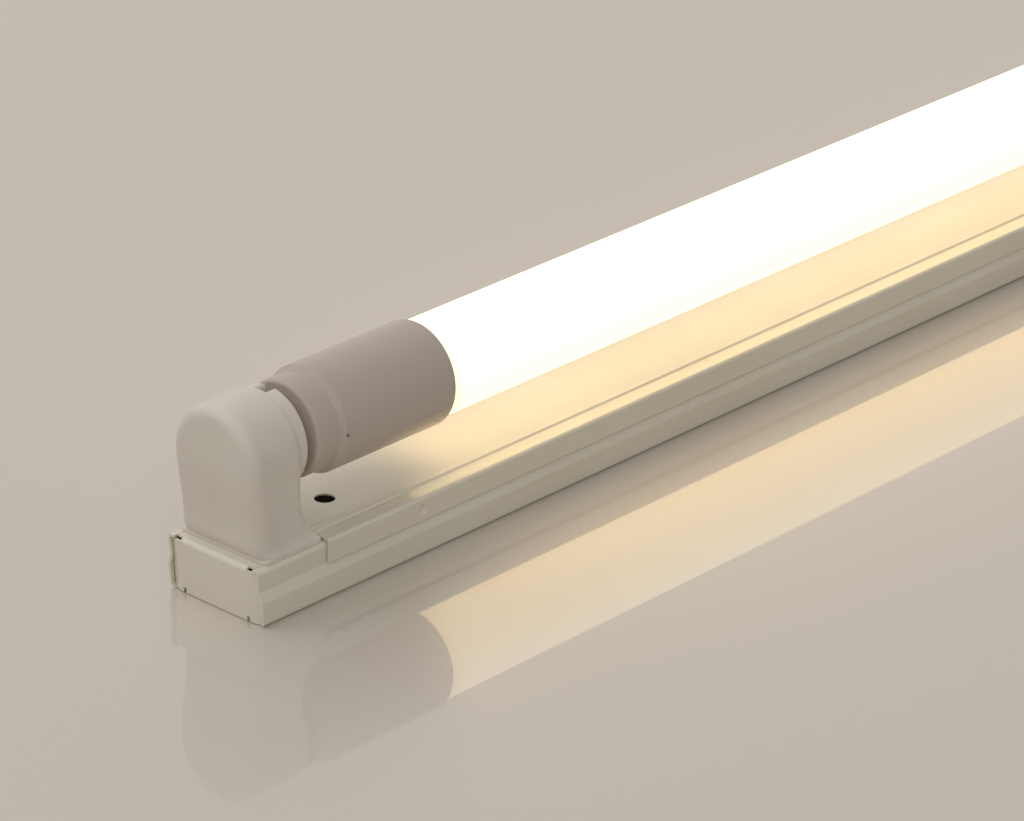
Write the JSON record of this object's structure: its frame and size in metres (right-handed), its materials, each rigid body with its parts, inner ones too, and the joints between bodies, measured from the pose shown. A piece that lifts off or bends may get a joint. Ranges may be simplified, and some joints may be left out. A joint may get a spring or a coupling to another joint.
{
  "type": "led tube batten light",
  "caption": "Slim batten light: a lit LED tube with two-pin caps held between twist-lock lampholders on a folded steel tray with a clipped cover.",
  "frame": {"origin": "middle of the batten's flat back face", "axes": "+X along the tube, +Z from the back face towards the tube"},
  "size_m": [0.6372, 0.0326, 0.0545],
  "materials": {
    "painted_steel": "smooth off-white powder coat",
    "holder_plastic": "moulded white polycarbonate, soft gloss",
    "rotor_plastic": "moulded white polycarbonate",
    "cap_plastic": "moulded warm grey plastic, satin",
    "diffuser_glass": "opal diffusing tube, lit warm white",
    "pin_brass": "bright turned brass",
    "bronze": "phosphor bronze strip",
    "board_aluminium": "white solder mask on aluminium",
    "silicone": "translucent white silicone",
    "led_package": "yellow phosphor in a white frame",
    "circuit_board": "green solder mask",
    "capacitor_sleeve": "black sleeve with a pale stripe",
    "ferrite": "dark sintered ferrite",
    "black_plastic": "black moulding compound",
    "film_box": "yellow plastic case",
    "fuse_body": "grey-blue lacquer",
    "lead_sleeve": "white insulation",
    "terminal_plastic": "natural polyamide",
    "zinc_steel": "zinc-plated steel",
    "tinned_copper": "tinned copper",
    "grommet_rubber": "black rubber",
    "live_sleeve": "brown insulation",
    "neutral_sleeve": "blue insulation",
    "earth_sleeve": "green and yellow insulation",
    "clip_plastic": "natural polyamide"
  },
  "bodies": {
    "fitting": {"tray": "painted_steel", "cover": "painted_steel", "left_lampholder": "holder_plastic", "right_lampholder": "holder_plastic", "left_contacts": "bronze", "right_contacts": "bronze", "terminal_block": "terminal_plastic", "terminal_bushes": "pin_brass", "terminal_screws": "zinc_steel", "terminal_block_screw": "zinc_steel", "earth_screw": "zinc_steel", "earth_lug": "tinned_copper", "earth_washer": "zinc_steel", "earth_nut": "zinc_steel", "cable_grommet": "grommet_rubber", "live_lead": "live_sleeve", "neutral_lead": "neutral_sleeve", "earth_lead": "earth_sleeve", "lead_clips": "clip_plastic"},
    "lamp": {"diffuser": "diffuser_glass", "left_end_cap": "cap_plastic", "right_end_cap": "cap_plastic", "left_pins": "pin_brass", "right_pins": "pin_brass", "left_rotor": "rotor_plastic", "right_rotor": "rotor_plastic", "led_board": "board_aluminium", "board_adhesive": "silicone", "leds": "led_package", "driver_board": "circuit_board", "driver_capacitor": "capacitor_sleeve", "driver_inductor": "ferrite", "driver_chip": "black_plastic", "driver_film_capacitor": "film_box", "driver_fuse": "fuse_body", "driver_pin_leads": "lead_sleeve", "driver_output_leads": "lead_sleeve", "link_leads": "lead_sleeve"}
  },
  "joints": [
    {"name": "tube_turn", "type": "hinge", "parent": "fitting", "child": "lamp", "pos_m": [0, 0, 0.0404], "axis": [1, 0, 0], "range_deg": [0, 90]}
  ]
}
